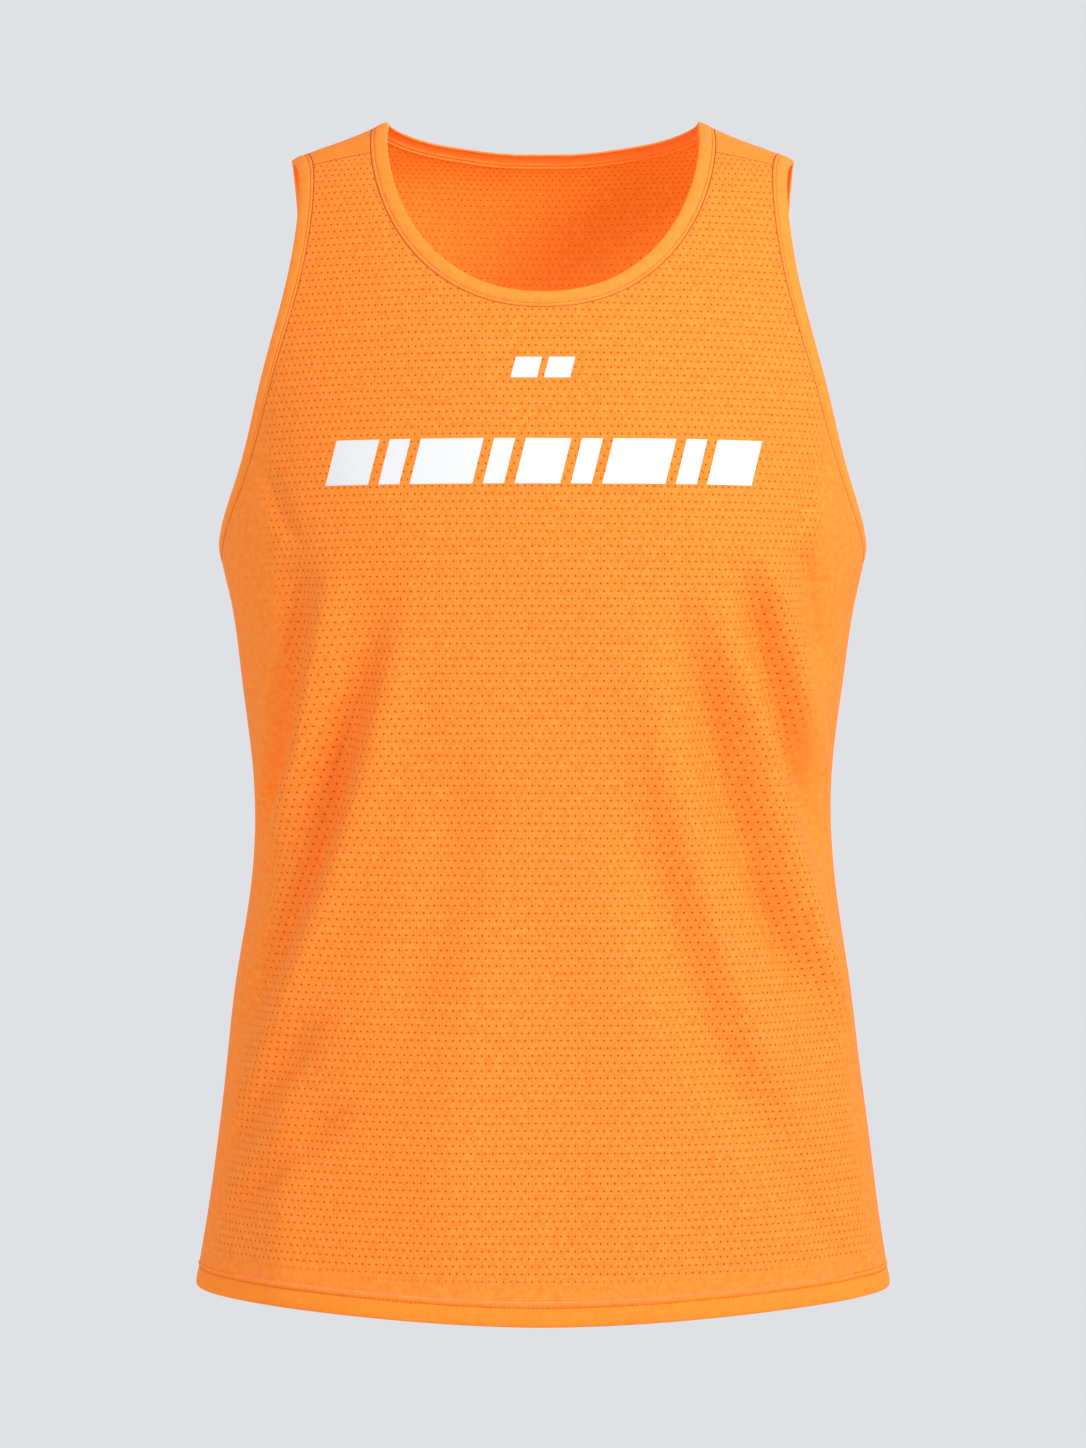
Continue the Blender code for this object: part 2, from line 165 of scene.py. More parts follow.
# The form's rings, hem first. Heights are from the origin, and depths from the side seams' plane.
# Squareness is how much fuller a ring is between its front and its sides than an ellipse.
Ring = namedtuple("Ring", "height half_width front_depth back_depth squareness")
RINGS = (
    Ring(-712, 211.0, 122, 115, 0.030),
    Ring(-684, 207.8, 121, 114, 0.030),
    Ring(-647, 202.0, 119, 113, 0.032),
    Ring(-599, 195.5, 117, 111, 0.034),
    Ring(-551, 189.5, 115, 108, 0.036),
    Ring(-503, 184.0, 114, 104, 0.038),
    Ring(-455, 176.5, 113, 99, 0.040),
    Ring(-407, 172.5, 113, 95, 0.040),
    Ring(-370, 174.0, 114, 94, 0.040),
    Ring(-320, 180.5, 117, 98, 0.040),
    Ring(-275, 187.0, 121, 105, 0.036),
    Ring(-242, 193.5, 123, 110, 0.032),
    Ring(-199, 191.0, 122, 115, 0.026),
    Ring(-149, 190.0, 115, 117, 0.018),
    Ring(-89, 184.0, 98, 113, 0.010),
    Ring(-49, 176.5, 82, 104, 0.004),
    Ring(-24, 165.0, 67, 92, 0.0),
    Ring(-12, 151.0, 56, 83, 0.0),
    Ring(0, 121.0, 45, 69, 0.0),
    Ring(12, 93.0, 35, 56, 0.0),
    Ring(21, 72.0, 26, 44, 0.0),
)

# The largest folds. Each runs from high to low, with its angles in degrees, bowed sideways in the
# middle by an angle. A ridge stands out and a trough, with a negative height, falls in.
Fold = namedtuple("Fold", "high high_angle low low_angle bow half_width height")
RIPPLE = 0.5  # the faint unevenness of cloth that hangs free
FOLD_DEPTH = 2.2  # the soft cloth falls deeper into its folds than the solid does
FOLDS = (
    # Front, -X side: a fan from the chest to the side seam, and two short ones above the hem.
    Fold(-240, -59, -430, -81, 5, 11, -4.5),
    Fold(-245, -48, -450, -78, 2, 13, 4.0),
    Fold(-262, -38, -550, -79, 0, 12, -5.0),
    Fold(-265, -33, -595, -78, 3, 14, 3.5),
    Fold(-355, -25, -545, -40, 4, 20, -2.5),
    Fold(-512, -56, -618, -82, 0, 12, -3.0),
    Fold(-562, -48, -648, -79, 0, 12, -3.0),
    # Front, +X side: longer and closer together.
    Fold(-232, 60, -328, 75, 0, 9, -3.0),
    Fold(-236, 51, -388, 77, -1, 9, 3.0),
    Fold(-242, 47, -436, 80, -3, 11, -5.0),
    Fold(-255, 40, -570, 82, 2, 13, 4.5),
    Fold(-262, 34, -548, 77, -4, 12, -5.0),
    Fold(-290, 27, -625, 70, -5, 15, 3.5),
    Fold(-380, 28, -636, 64, -6, 18, -3.0),
    # Back: the same kind of fan from the +X shoulder blade.
    Fold(-225, 121, -430, 99, -3, 12, -4.5),
    Fold(-232, 132, -515, 101, -2, 14, 4.0),
    Fold(-250, 143, -575, 107, -4, 14, -4.5),
    Fold(-320, 157, -600, 132, -4, 19, 3.0),
    # Short creases at the underarms and beside the side seams.
    Fold(-195, -68, -252, -57, 0, 6, -1.4),
    Fold(-188, 69, -246, 58, 0, 6, -1.2),
    Fold(-300, -69, -420, -84, 2, 7, 1.6),
    Fold(-300, 66, -400, 82, 0, 6, 1.5),
    Fold(-330, -52, -470, -66, 2, 7, -1.6),
    Fold(-420, 55, -560, 74, -2, 7, -1.5),
    # Broad, faint ones over the belly and at the hem, and on the back.
    Fold(-450, -20, -690, -31, 2, 20, 1.4),
    Fold(-460, 6, -700, 9, 0, 24, -1.0),
    Fold(-500, 50, -702, 47, 2, 17, 1.5),
    Fold(-540, -63, -700, -60, 0, 15, 1.3),
    Fold(-600, 58, -690, 76, 0, 10, -1.4),
    Fold(-130, 160, -300, 142, 0, 16, -1.5),
    Fold(-140, -158, -290, -141, 0, 15, -1.3),
    Fold(-420, 172, -680, 165, 2, 22, -1.5),
    # Back: the fan from the other shoulder blade.
    Fold(-230, -119, -442, -98, 3, 12, -4.5),
    Fold(-240, -130, -495, -100, 3, 13, 4.0),
    Fold(-262, -144, -590, -106, 4, 15, -4.5),
    Fold(-300, -160, -565, -137, 3, 19, 2.5),
)


def natural_spline(knots, values):
    """A function that runs smoothly through the values at the knots."""
    knots = np.array(knots, float)
    values = np.array(values, float)
    gaps = np.diff(knots)
    slopes = np.diff(values) / gaps
    last = len(knots) - 1
    matrix = np.eye(last + 1)
    right = np.zeros(last + 1)
    for i in range(1, last):
        matrix[i, i - 1 : i + 2] = gaps[i - 1], 2 * (gaps[i - 1] + gaps[i]), gaps[i]
        right[i] = 6 * (slopes[i] - slopes[i - 1])
    bends = np.linalg.solve(matrix, right)

    def value_at(place):
        i = np.clip(np.searchsorted(knots, place) - 1, 0, last - 1)
        before = (knots[i + 1] - place) / gaps[i]
        after = (place - knots[i]) / gaps[i]
        curve = (before**3 - before) * bends[i] + (after**3 - after) * bends[i + 1]
        return before * values[i] + after * values[i + 1] + curve * gaps[i] ** 2 / 6

    return value_at


def ring_distances():
    """How far up the cloth each ring is, as the mean of the side's and the front's own lengths."""
    rings = np.array(RINGS, float)
    rise = np.diff(rings[:, 0])
    side = np.hypot(rise, np.diff(rings[:, 1]))
    front = np.hypot(rise, np.diff(rings[:, 2]))
    return np.concatenate([[0], np.cumsum((side + front) / 2)])


UP = ring_distances()
HEIGHT, HALF_WIDTH, FRONT_DEPTH, BACK_DEPTH, SQUARENESS = (
    natural_spline(UP, column) for column in zip(*RINGS)
)
FINE_UP = np.linspace(0, UP[-1], 4000)
FINE_HEIGHT = HEIGHT(FINE_UP)


def up_at_height(height):
    return np.interp(height, FINE_HEIGHT, FINE_UP)


def ring_point(angle, up):
    """The smooth form, without folds, in millimetres."""
    depth = np.where(np.cos(angle) > 0, FRONT_DEPTH(up), BACK_DEPTH(up))
    reach = 1 / np.hypot(np.sin(angle) / HALF_WIDTH(up), np.cos(angle) / depth)
    reach = reach * (1 + SQUARENESS(up) * np.sin(2 * angle) ** 2)
    return np.stack([reach * np.sin(angle), -reach * np.cos(angle), HEIGHT(up)], -1)


def slopes_at(angle, up):
    """How the form moves for each radian round it and each millimetre up it."""
    turn, rise = 1e-4, 0.05
    across = (ring_point(angle + turn, up) - ring_point(angle - turn, up)) / (2 * turn)
    upward = (ring_point(angle, up + rise) - ring_point(angle, up - rise)) / (2 * rise)
    return across, upward


def outward(angle, up):
    """The direction away from the wearer."""
    normal = np.cross(*slopes_at(angle, up))
    return normal / np.linalg.norm(normal, axis=-1, keepdims=True)


def soft_step(share):
    share = np.clip(share, 0, 1)
    return share * share * (3 - 2 * share)


def fold_height(angle, up):
    """How far the folds lift the cloth off the smooth form."""
    angle, height = np.broadcast_arrays(angle, HEIGHT(up))
    lift = RIPPLE * np.sin(7 * angle + height / 61) * np.sin(height / 43 + 2 * angle)
    for fold in FOLDS:
        share = (height - fold.high) / (fold.low - fold.high)
        bow = fold.bow * 4 * share * (1 - share)
        path = np.radians(fold.high_angle + (fold.low_angle - fold.high_angle) * share + bow)
        aside = (angle - path + math.pi) % (2 * math.pi) - math.pi
        reach = np.hypot(*np.moveaxis(ring_point(path, up)[..., :2], -1, 0))
        ends = soft_step(share / 0.3) * soft_step((1 - share) / 0.3)
        rounded = np.exp(-((aside * reach / fold.half_width) ** 2))
        lift = lift + FOLD_DEPTH * fold.height * ends * rounded
    return lift


def cloth_point(angle, up, proud=0.0):
    """The cloth's outer face, in millimetres, or a place that much further out."""
    lift = fold_height(angle, up) + proud
    return ring_point(angle, up) + outward(angle, up) * np.expand_dims(lift, -1)


def angle_at(x, up, back=False):
    """The angle at which a ring is this far from the centre line."""
    low = np.zeros_like(x)
    high = np.full_like(x, QUARTER)
    for _ in range(50):
        middle = (low + high) / 2
        at = ring_point(math.pi - middle if back else middle, up)[..., 0]
        low = np.where(at < np.abs(x), middle, low)
        high = np.where(at < np.abs(x), high, middle)
    return np.copysign(math.pi - low if back else low, x)


def walk(places, direction, distance):
    """Each (angle, up) place moved that far over the form, in a direction along its surface."""
    angle, up = places
    steps = 5
    for _ in range(steps):
        across, upward = slopes_at(angle, up)
        aa, bb = (across * across).sum(-1), (upward * upward).sum(-1)
        ab = (across * upward).sum(-1)
        a, b = (across * direction).sum(-1), (upward * direction).sum(-1)
        size = aa * bb - ab * ab
        angle = angle + (a * bb - b * ab) / size * distance / steps
        up = up + (b * aa - a * ab) / size * distance / steps
    return np.stack([angle, up])


def evenly(curve, steps):
    """Places an equal distance apart along a curve, which takes a share from 0 to 1."""
    fine = np.linspace(0, 1, 600)
    lengths = np.linalg.norm(np.diff(ring_point(*curve(fine)), axis=0), axis=1)
    total = np.concatenate([[0], np.cumsum(lengths)])
    return np.stack(curve(np.interp(np.linspace(0, total[-1], steps + 1), total, fine)))


def into_cloth(edge, distance):
    """A closed edge moved this far over the form, to the left of its run, where its cloth is."""
    points = ring_point(*edge)
    run = np.roll(points, -1, axis=0) - np.roll(points, 1, axis=0)
    left = np.cross(outward(*edge), run)
    return walk(edge, left / np.linalg.norm(left, axis=1, keepdims=True), distance)


def up_on_shoulder(x):
    """Where the shoulder's ridge is this far from the centre line."""
    ridge = FINE_HEIGHT > SHOULDER_LOWEST
    return np.interp(-x, -HALF_WIDTH(FINE_UP[ridge]), FINE_UP[ridge])


NECK_POINT_UP = up_on_shoulder(NECK_HALF_WIDTH)
SHOULDER_POINT_UP = up_on_shoulder(SHOULDER_POINT)
UNDERARM_UP = up_at_height(UNDERARM_HEIGHT)


def neck_front(share):
    """The front neck's edge, a full round scoop, from the +X shoulder across."""
    turn = QUARTER - math.pi * share
    aside, deep = np.abs([np.sin(turn), np.cos(turn)]) ** (2 / NECK_FRONT_FULLNESS)
    up = up_at_height(HEIGHT(NECK_POINT_UP) - NECK_FRONT_DROP * deep)
    return angle_at(np.copysign(NECK_HALF_WIDTH * aside, turn), up), up


def neck_back(share):
    """The back neck's edge, from the -X shoulder across."""
    turn = math.pi * share - QUARTER
    fall = 1 - np.abs(np.sin(turn)) ** NECK_BACK_FULLNESS
    up = up_at_height(HEIGHT(NECK_POINT_UP) - NECK_BACK_DROP * fall)
    angle = angle_at(NECK_HALF_WIDTH * np.sin(turn), up, back=True)
    return angle % (2 * math.pi), up


def armhole(share, reach):
    """Half of the +X armhole's edge, from the underarm up to the shoulder."""
    turn = math.pi * (1 - share)
    middle = (SHOULDER_POINT_UP + UNDERARM_UP) / 2
    half = (SHOULDER_POINT_UP - UNDERARM_UP) / 2
    bulge = np.sin(turn) + ARMHOLE_LEAN * np.sin(2 * turn)
    return QUARTER - reach * bulge, middle + half * np.cos(turn)


def hem(angle, above=0.0):
    """The place at this angle on the hem's edge, or that far above it."""
    drop = np.where(np.cos(angle) > 0, HEM_FRONT_DROP, HEM_BACK_DROP)
    height = HEM_SIDE_HEIGHT - drop * np.cos(angle) ** 2
    return np.stack([angle, up_at_height(height) + above])


def joined(first, second):
    """A closed edge from two runs, each of which starts at the place where the other ends."""
    return np.concatenate([first[:, :-1], second[:, :-1]], axis=1)


def mirrored(places, whole_turn=0.0):
    """The same places on the other side, run the other way, with a panel's angles kept together."""
    return np.stack([whole_turn - places[0, ::-1], places[1, ::-1]])


def on_side(side, places):
    """Places made on the +X side, which is the wearer's left, or their mirror image."""
    return places if side == "left" else mirrored(places)


NECK_EDGE = joined(evenly(neck_front, NECK_FRONT_STEPS), evenly(neck_back, NECK_BACK_STEPS))
ARM_EDGE = joined(
    evenly(lambda share: armhole(share, ARMHOLE_FRONT), ARM_STEPS),
    evenly(lambda share: armhole(1 - share, -ARMHOLE_BACK), ARM_STEPS),
)
NECK_SEAM = into_cloth(NECK_EDGE, NECK_BAND + SEAM_GAP)
ARM_SEAM = into_cloth(ARM_EDGE, ARM_BAND + SEAM_GAP)


def stretch(seam, first, last):
    """The places of a closed seam from one number to another, both of them counted."""
    return seam[:, np.arange(first, last + 1) % seam.shape[1]]


def strap_seam(neck_number, arm_number):
    """A shoulder seam on the +X side, from the armhole's band to the neckband."""
    start, end = ARM_SEAM[:, [arm_number]], NECK_SEAM[:, [neck_number]]
    return start + (end - start) * np.linspace(0, 1, STRAP_STEPS + 1)


def side_seam():
    """The +X side seam, from the hem's band up to the armhole's."""
    bottom = hem(QUARTER, HEM_BAND + SEAM_GAP)[1]
    up = np.linspace(bottom, ARM_SEAM[1, 0], SIDE_STEPS + 1)
    return np.stack([np.full_like(up, QUARTER), up])


def hem_seam(start, end):
    return hem(np.linspace(start, end, HEM_STEPS // 2 + 1), HEM_BAND + SEAM_GAP)


def left_of(seam):
    """A seam moved to the left of its run by half of the gap that is left at a seam."""
    left = np.cross(outward(*seam), np.gradient(ring_point(*seam), axis=0))
    return walk(seam, left / np.linalg.norm(left, axis=1, keepdims=True), SEAM_GAP / 2)


def both_halves(half, whole_turn=0.0):
    """A panel's outline from the half on the +X side, which starts and ends on the centre line."""
    return np.concatenate([half, mirrored(half, whole_turn)[:, 1:-1]], axis=1)


def front_outline():
    """Counted against the clock from centre front at the hem, as all outlines are from outside."""
    arm = stretch(ARM_SEAM, 0, ARM_STEPS - FRONT_REACH.along_arm)
    strap = strap_seam(FRONT_REACH.along_neck, ARM_STEPS - FRONT_REACH.along_arm)
    neck = stretch(NECK_SEAM, FRONT_REACH.along_neck, NECK_FRONT_STEPS // 2)
    runs = hem_seam(0, QUARTER)[:, :-1], left_of(side_seam()), arm[:, 1:-1], left_of(strap)
    return both_halves(np.concatenate([*runs, neck[:, 1:]], axis=1))


def back_outline():
    neck_steps = NECK_FRONT_STEPS + NECK_BACK_STEPS
    neck_middle = NECK_FRONT_STEPS + NECK_BACK_STEPS // 2
    neck = stretch(NECK_SEAM, neck_middle, neck_steps - BACK_REACH.along_neck)
    strap = strap_seam(-BACK_REACH.along_neck, ARM_STEPS + BACK_REACH.along_arm)[:, ::-1]
    arm = stretch(ARM_SEAM, ARM_STEPS + BACK_REACH.along_arm, 2 * ARM_STEPS)
    runs = neck[:, :-1], left_of(strap), arm[:, 1:-1], left_of(side_seam()[:, ::-1])
    half = np.concatenate([*runs, hem_seam(QUARTER, math.pi)[:, 1:]], axis=1)
    half[0] %= 2 * math.pi
    return both_halves(half, 2 * math.pi)


def shoulder_outline():
    """The piece over the +X shoulder, from the inner end of its front seam."""
    front = strap_seam(FRONT_REACH.along_neck, ARM_STEPS - FRONT_REACH.along_arm)[:, ::-1]
    arm = stretch(ARM_SEAM, ARM_STEPS - FRONT_REACH.along_arm, ARM_STEPS + BACK_REACH.along_arm)
    back = strap_seam(-BACK_REACH.along_neck, ARM_STEPS + BACK_REACH.along_arm)
    neck = stretch(NECK_SEAM, -BACK_REACH.along_neck, FRONT_REACH.along_neck)
    runs = left_of(front), arm[:, 1:-1], left_of(back), neck[:, 1:-1]
    return np.concatenate(runs, axis=1)


def inside(points, border):
    """Which points are inside a closed border, by how often a line to their right crosses it."""
    start, end = border, np.roll(border, -1, axis=0)
    x, y = points[:, :1], points[:, 1:]
    spans = (start[:, 1] > y) != (end[:, 1] > y)
    rise = np.where(spans, end[:, 1] - start[:, 1], 1)
    crossing = start[:, 0] + (y - start[:, 1]) * (end[:, 0] - start[:, 0]) / rise
    return (spans & (x < crossing)).sum(axis=1) % 2 == 1


def staggered_rows(border):
    """Points one step apart in staggered rows, inside a border and clear of it."""
    low, high = np.floor(border.min(axis=0)), np.ceil(border.max(axis=0))
    across, row = np.meshgrid(np.arange(low[0], high[0]), np.arange(low[1], high[1]))
    points = np.stack([across + 0.5 * (row % 2), row], axis=-1).reshape(-1, 2)
    points = points[inside(points, border)]
    away = np.linalg.norm(points[:, None] - border, axis=2).min(axis=1)
    return points[away > MESH_CLEAR]


def panel_mesh(outline):
    """The places and triangles of a panel."""
    steps = np.array([MEAN_RADIUS / MESH_ACROSS, 1 / MESH_UP])
    border = outline.T * steps
    spots = [Vector(spot) for spot in np.concatenate([border, staggered_rows(border)])]
    around = [(i, (i + 1) % len(border)) for i in range(len(border))]
    inside_only, closeness = 1, 1e-6
    spots, _, triangles, *_ = delaunay_2d_cdt(spots, around, [], inside_only, closeness)
    return (np.array(spots) / steps).T, triangles


def add_cloth(name, piece_mesh, wall, proud, material):
    """A closed shell of cloth: its inner face is laid on the form and extruded out to the outer
    one. Its UV map is the distance in metres round the form and up it, as the knit runs."""
    places, faces = piece_mesh
    inner, outer = (cloth_point(*places, proud - depth) * MM for depth in (wall, 0))
    work = bmesh.new()
    number = work.verts.layers.int.new("number")
    verts = [work.verts.new(point) for point in inner]
    for i, vert in enumerate(verts):
        vert[number] = i
    for face in faces:
        work.faces.new([verts[i] for i in face])
    made = bmesh.ops.extrude_face_region(work, geom=work.faces[:], use_keep_orig=True)
    for vert in made["geom"]:
        if isinstance(vert, bmesh.types.BMVert):
            vert.co = outer[vert[number]]
    bmesh.ops.recalc_face_normals(work, faces=work.faces)
    mesh = bpy.data.meshes.new(name)
    work.to_mesh(mesh)
    work.free()
    numbers = np.zeros(len(mesh.vertices), np.int32)
    mesh.attributes["number"].data.foreach_get("value", numbers)
    corners = np.zeros(len(mesh.loops), np.int32)
    mesh.loops.foreach_get("vertex_index", corners)
    along = np.stack([distance_round(*places), places[1]], axis=1) * MM
    mesh.uv_layers.new(name="cloth").data.foreach_set("uv", along[numbers[corners]].ravel())
    zone = mesh.attributes.new("perforated", "FLOAT", "POINT")
    zone.data.foreach_set("value", perforated(*places)[numbers])
    mesh.attributes.remove(mesh.attributes["number"])
    mesh.materials.append(material)
    mesh.shade_smooth()
    mesh.set_sharp_from_angle(angle=math.radians(55))
    piece = bpy.data.objects.new(name, mesh)
    bpy.context.collection.objects.link(piece)
    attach(piece, "root")
    return piece


def distance_round(angle, up):
    """How far a place is round its ring, in millimetres, from centre front or centre back."""
    middle = np.where(np.cos(angle) > 0, 0.0, np.where(angle > 0, math.pi, -math.pi))
    shares = np.linspace(0, 1, 25)[:, None]
    path = ring_point(middle + (angle - middle) * shares, np.broadcast_to(up, (25, len(up))))
    run = np.linalg.norm(np.diff(path, axis=0), axis=2).sum(axis=0)
    return np.copysign(run, angle - middle)


# The knit is plain beside the side seams, in a strip that is widest under the arms.
PLAIN_FROM = natural_spline((-720, -500, -260, -100, 20), (77, 72, 63, 71, 80))
PLAIN_FADE = 6.0  # degrees over which the holes shrink
PLAIN_ABOVE_HEM = 5.0
HEM_FADE = 8.0


def perforated(angle, up):
    """How fully the holes are knitted, from 0 in the plain strips to 1."""
    front_angle = np.degrees(np.arccos(np.abs(np.cos(angle))))
    height = HEIGHT(up)
    beside = soft_step((PLAIN_FROM(height) + PLAIN_FADE - front_angle) / PLAIN_FADE)
    above = soft_step((up - hem(angle, HEM_BAND + PLAIN_ABOVE_HEM)[1]) / HEM_FADE)
    return beside * above


# A faint painted glow, an emission that lifts the cloth's colour in the shade, keeps it from turning
# grey there.
Glow = namedtuple("Glow", "colour strength")
RED_PAINTED_GLOW = Glow((1.0, 0.09, 0.0, 1), 0.19)
AMBER_PAINTED_GLOW = Glow((1.0, 0.30, 0.0, 1), 0.16)  # of the back, whose inner face is in deeper shade

# The knit in metres, as its UV map is.
HOLE_ACROSS = 0.0041
HOLE_UP = 0.0043  # from one row of holes to the next, which is moved half a step
HOLE_RADIUS = 0.00047
HOLE_RIM = HOLE_RADIUS * 0.6
HOLE_DIMPLE = 0.0013
HOLE_DEPTH = 1.6  # of the dimple, next to the height of a stitch
HOLE_OPEN = 0.3  # the share of light that an open hole lets by
KNIT_ACROSS = 0.00082
KNIT_UP = 0.00062
CLOTH_SHADE = 0.91, 0.225, 0.022, 1
CLOTH_BRIGHT = 0.99, 0.352, 0.058, 1
# Painted shade in the shallow dimple round each hole, strongest next to the hole.
DIMPLE_SHADE_COLOUR = 0.62, 0.10, 0.010, 1
DIMPLE_SHADE_SHARE = 0.4
# Painted shade in each hole: the dark of the garment's shaded inside, seen through it.
HOLE_SHADE_COLOUR = 0.42, 0.055, 0.004, 1


def sum_node(tree, operation, *values):
    """A Math node whose inputs are numbers or other nodes' sockets."""
    node = tree.nodes.new("ShaderNodeMath")
    node.operation = operation
    for socket, value in zip(node.inputs, values):
        if isinstance(value, (int, float)):
            socket.default_value = value
        else:
            tree.links.new(value, socket)
    return node.outputs[0]


def blend_node(tree, share, first, colour):
    """A Mix node from a socket's colour to a plain one."""
    node = tree.nodes.new("ShaderNodeMix")
    node.data_type = "RGBA"
    factor, start, end = node.inputs[0], node.inputs[6], node.inputs[7]
    tree.links.new(share, factor)
    tree.links.new(first, start)
    end.default_value = colour
    return node.outputs[2]


def tone_node(tree, value, dark, light, start=0.0, end=1.0):
    """A Color Ramp from a dark to a light colour."""
    node = tree.nodes.new("ShaderNodeValToRGB")
    low, high = node.color_ramp.elements
    low.position, high.position = start, end
    low.color, high.color = dark, light
    tree.links.new(value, node.inputs[0])
    return node.outputs[0]


def dyed_shader(tree, painted_glow):
    """The matt surface of a dyed polyester, with a faint painted glow that lifts its colour in the
    shade.
    """
    shader = tree.nodes["Principled BSDF"]
    shader.inputs["Roughness"].default_value = 0.72
    shader.inputs["Specular IOR Level"].default_value = 0.1
    shader.inputs["Sheen Weight"].default_value = 0.03
    shader.inputs["Sheen Roughness"].default_value = 0.45
    shader.inputs["Sheen Tint"].default_value = 1.0, 0.62, 0.35, 1
    # Painted glow: the cloth gives off a little light of its own, which shows most where it is in
    # shade.
    shader.inputs["Emission Color"].default_value = painted_glow.colour
    shader.inputs["Emission Strength"].default_value = painted_glow.strength
    return shader


def hole_pattern(tree, across, up):
    """Where the round holes are, in staggered rows, and how deep the dimple round each is."""
    row = sum_node(tree, "DIVIDE", up, HOLE_UP)
    odd = sum_node(tree, "FLOORED_MODULO", sum_node(tree, "FLOOR", row), 2.0)
    column = sum_node(tree, "DIVIDE", across, HOLE_ACROSS)
    column = sum_node(tree, "ADD", column, sum_node(tree, "MULTIPLY", odd, 0.5))
    aside = sum_node(tree, "SUBTRACT", sum_node(tree, "FRACT", column), 0.5)
    above = sum_node(tree, "SUBTRACT", sum_node(tree, "FRACT", row), 0.5)
    aside = sum_node(tree, "MULTIPLY", aside, HOLE_ACROSS)
    above = sum_node(tree, "MULTIPLY", above, HOLE_UP)
    square = sum_node(tree, "MULTIPLY_ADD", aside, aside, sum_node(tree, "MULTIPLY", above, above))
    away = sum_node(tree, "SQRT", square)
    zone = tree.nodes.new("ShaderNodeAttribute")
    zone.attribute_name = "perforated"
    fullness = zone.outputs["Fac"]
    hole = sum_node(tree, "LESS_THAN", away, sum_node(tree, "MULTIPLY", fullness, HOLE_RADIUS))
    rim = tree.nodes.new("ShaderNodeMapRange")
    rim.interpolation_type = "SMOOTHSTEP"
    rim.inputs["From Min"].default_value = HOLE_RIM
    rim.inputs["From Max"].default_value = HOLE_DIMPLE
    tree.links.new(away, rim.inputs["Value"])
    dip = sum_node(tree, "SUBTRACT", 1.0, rim.outputs[0])
    return hole, sum_node(tree, "MULTIPLY", dip, fullness)


def jersey(name, shade, bright, painted_glow, holes=False, see_through=False):
    """A matt knit: fine ribs of stitches, faint clouds of colour and, if asked for, round holes
    painted dark with the shade seen through them, each in a shallow dimple painted darker with
    shade. Light passes through them if they are see-through."""
    material = bpy.data.materials.new(name)
    material.use_nodes = True
    tree = material.node_tree
    shader = dyed_shader(tree, painted_glow)
    cloth_map = tree.nodes.new("ShaderNodeUVMap")
    cloth_map.uv_map = "cloth"
    split = tree.nodes.new("ShaderNodeSeparateXYZ")
    tree.links.new(cloth_map.outputs[0], split.inputs[0])
    across, up = split.outputs[0], split.outputs[1]

    ribs = sum_node(tree, "SINE", sum_node(tree, "MULTIPLY", across, 2 * math.pi / KNIT_ACROSS))
    courses = sum_node(tree, "SINE", sum_node(tree, "MULTIPLY", up, 2 * math.pi / KNIT_UP))
    knit = sum_node(tree, "MULTIPLY", sum_node(tree, "ADD", ribs, courses), 0.25)

    clouds = tree.nodes.new("ShaderNodeTexNoise")
    clouds.inputs["Scale"].default_value = 210.0
    clouds.inputs["Detail"].default_value = 7.0
    clouds.inputs["Roughness"].default_value = 0.8
    tree.links.new(cloth_map.outputs[0], clouds.inputs["Vector"])
    tint = sum_node(tree, "MULTIPLY_ADD", knit, 0.3, clouds.outputs[0])
    colour, height = tone_node(tree, tint, shade, bright, 0.34, 0.66), knit

    if holes:
        hole, dip = hole_pattern(tree, across, up)
        grain = sum_node(tree, "MULTIPLY_ADD", clouds.outputs[0], 1.5, knit)
        height = sum_node(tree, "MULTIPLY_ADD", dip, -HOLE_DEPTH, grain)
        # The dimple round each hole is painted darker, as shade.
        dimple_shade = sum_node(tree, "MULTIPLY", dip, DIMPLE_SHADE_SHARE)
        colour = blend_node(tree, dimple_shade, colour, DIMPLE_SHADE_COLOUR)
        # Each hole is painted with the shade of the garment's inside, which shows through it.
        colour = blend_node(tree, hole, colour, HOLE_SHADE_COLOUR)
    if see_through:
        clear = tree.nodes.new("ShaderNodeBsdfTransparent")
        mix = tree.nodes.new("ShaderNodeMixShader")
        tree.links.new(sum_node(tree, "MULTIPLY", hole, HOLE_OPEN), mix.inputs[0])
        tree.links.new(shader.outputs[0], mix.inputs[1])
        tree.links.new(clear.outputs[0], mix.inputs[2])
        tree.links.new(mix.outputs[0], tree.nodes["Material Output"].inputs["Surface"])

    bump = tree.nodes.new("ShaderNodeBump")
    bump.inputs["Strength"].default_value = 0.5
    bump.inputs["Distance"].default_value = 0.00025
    tree.links.new(height, bump.inputs["Height"])
    tree.links.new(bump.outputs[0], shader.inputs["Normal"])
    tree.links.new(colour, shader.inputs["Base Color"])
    return material


mesh_jersey = jersey("perforated_jersey", CLOTH_SHADE, CLOTH_BRIGHT, RED_PAINTED_GLOW, holes=True)
front = add_cloth("front", panel_mesh(front_outline()), CLOTH, 0, mesh_jersey)
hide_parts("front_panel")

# BACK PANEL. The same perforated jersey as the front, cut higher at the neck and further in at
# the armholes, and joined to it by a seam down each side.
open_jersey = jersey("open_jersey", CLOTH_SHADE, CLOTH_BRIGHT, AMBER_PAINTED_GLOW, holes=True,
                     see_through=True)
back = add_cloth("back", panel_mesh(back_outline()), CLOTH, 0, open_jersey)
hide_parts("back_panel")

